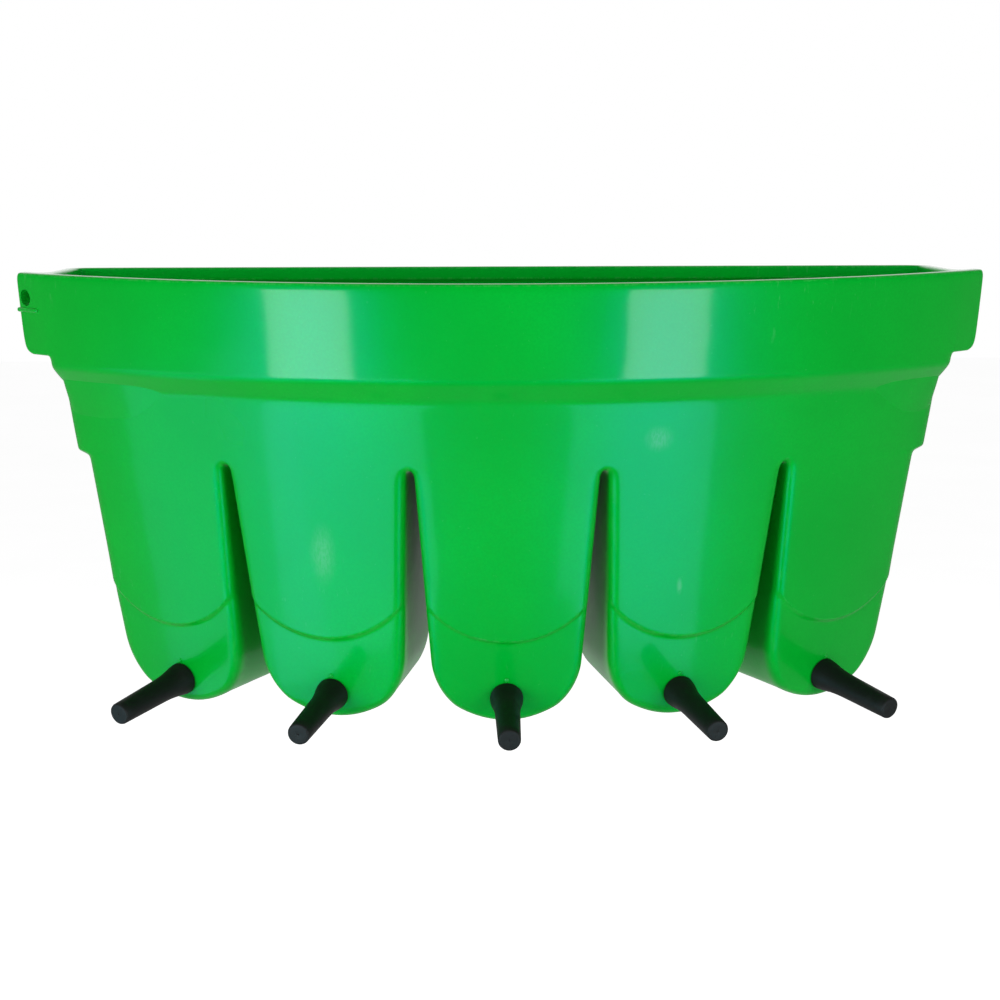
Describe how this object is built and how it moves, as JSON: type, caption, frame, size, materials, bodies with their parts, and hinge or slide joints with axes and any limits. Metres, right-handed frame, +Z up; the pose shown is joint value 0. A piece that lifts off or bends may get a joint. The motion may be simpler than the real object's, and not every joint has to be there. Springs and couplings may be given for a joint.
{
  "type": "milk feeding trough",
  "caption": "Hanging half-moon milk trough for group feeding of calves, with separate pockets below a common basin and a rubber teat with non-return valve on each pocket.",
  "frame": {"origin": "middle of the flat back band that bears on the gate or fence, 50 mm below the rim", "axes": "+X along the straight back, to the right as seen from the calves' side; +Y out of the back, towards the gate; +Z up"},
  "size_m": [1.0409, 0.3296, 0.4702],
  "materials": {
    "tub_green": "satin moulded polyethylene, evenly coloured green",
    "teat_rubber": "matt black moulded rubber",
    "valve_plastic": "off-white moulded plastic",
    "seal_rubber": "dark rubber sheet",
    "nut_plastic": "light grey moulded plastic",
    "seat_rubber": "red-brown soft rubber",
    "ball_steel": "polished stainless steel"
  },
  "bodies": {
    "trough": {"tub": "tub_green", "teat_1": "teat_rubber", "teat_2": "teat_rubber", "teat_3": "teat_rubber", "teat_4": "teat_rubber", "teat_5": "teat_rubber", "valve_body_1": "valve_plastic", "valve_body_2": "valve_plastic", "valve_body_3": "valve_plastic", "valve_body_4": "valve_plastic", "valve_body_5": "valve_plastic", "seal_washer_1": "seal_rubber", "seal_washer_2": "seal_rubber", "seal_washer_3": "seal_rubber", "seal_washer_4": "seal_rubber", "seal_washer_5": "seal_rubber", "lock_nut_1": "nut_plastic", "lock_nut_2": "nut_plastic", "lock_nut_3": "nut_plastic", "lock_nut_4": "nut_plastic", "lock_nut_5": "nut_plastic", "seat_ring_1": "seat_rubber", "seat_ring_2": "seat_rubber", "seat_ring_3": "seat_rubber", "seat_ring_4": "seat_rubber", "seat_ring_5": "seat_rubber"},
    "ball_1": {"check_ball_1": "ball_steel"},
    "ball_2": {"check_ball_2": "ball_steel"},
    "ball_3": {"check_ball_3": "ball_steel"},
    "ball_4": {"check_ball_4": "ball_steel"},
    "ball_5": {"check_ball_5": "ball_steel"}
  },
  "joints": [
    {"name": "check_ball_1_slide", "type": "slide", "parent": "trough", "child": "ball_1", "axis": [-0.5728, -0.7952, -0.1989], "range_m": [-0.004, 0]},
    {"name": "check_ball_2_slide", "type": "slide", "parent": "trough", "child": "ball_2", "axis": [-0.3009, -0.9327, -0.1989], "range_m": [-0.004, 0]},
    {"name": "check_ball_3_slide", "type": "slide", "parent": "trough", "child": "ball_3", "axis": [0, -0.98, -0.1989], "range_m": [-0.004, 0]},
    {"name": "check_ball_4_slide", "type": "slide", "parent": "trough", "child": "ball_4", "axis": [0.3009, -0.9327, -0.1989], "range_m": [-0.004, 0]},
    {"name": "check_ball_5_slide", "type": "slide", "parent": "trough", "child": "ball_5", "axis": [0.5728, -0.7952, -0.1989], "range_m": [-0.004, 0]}
  ]
}
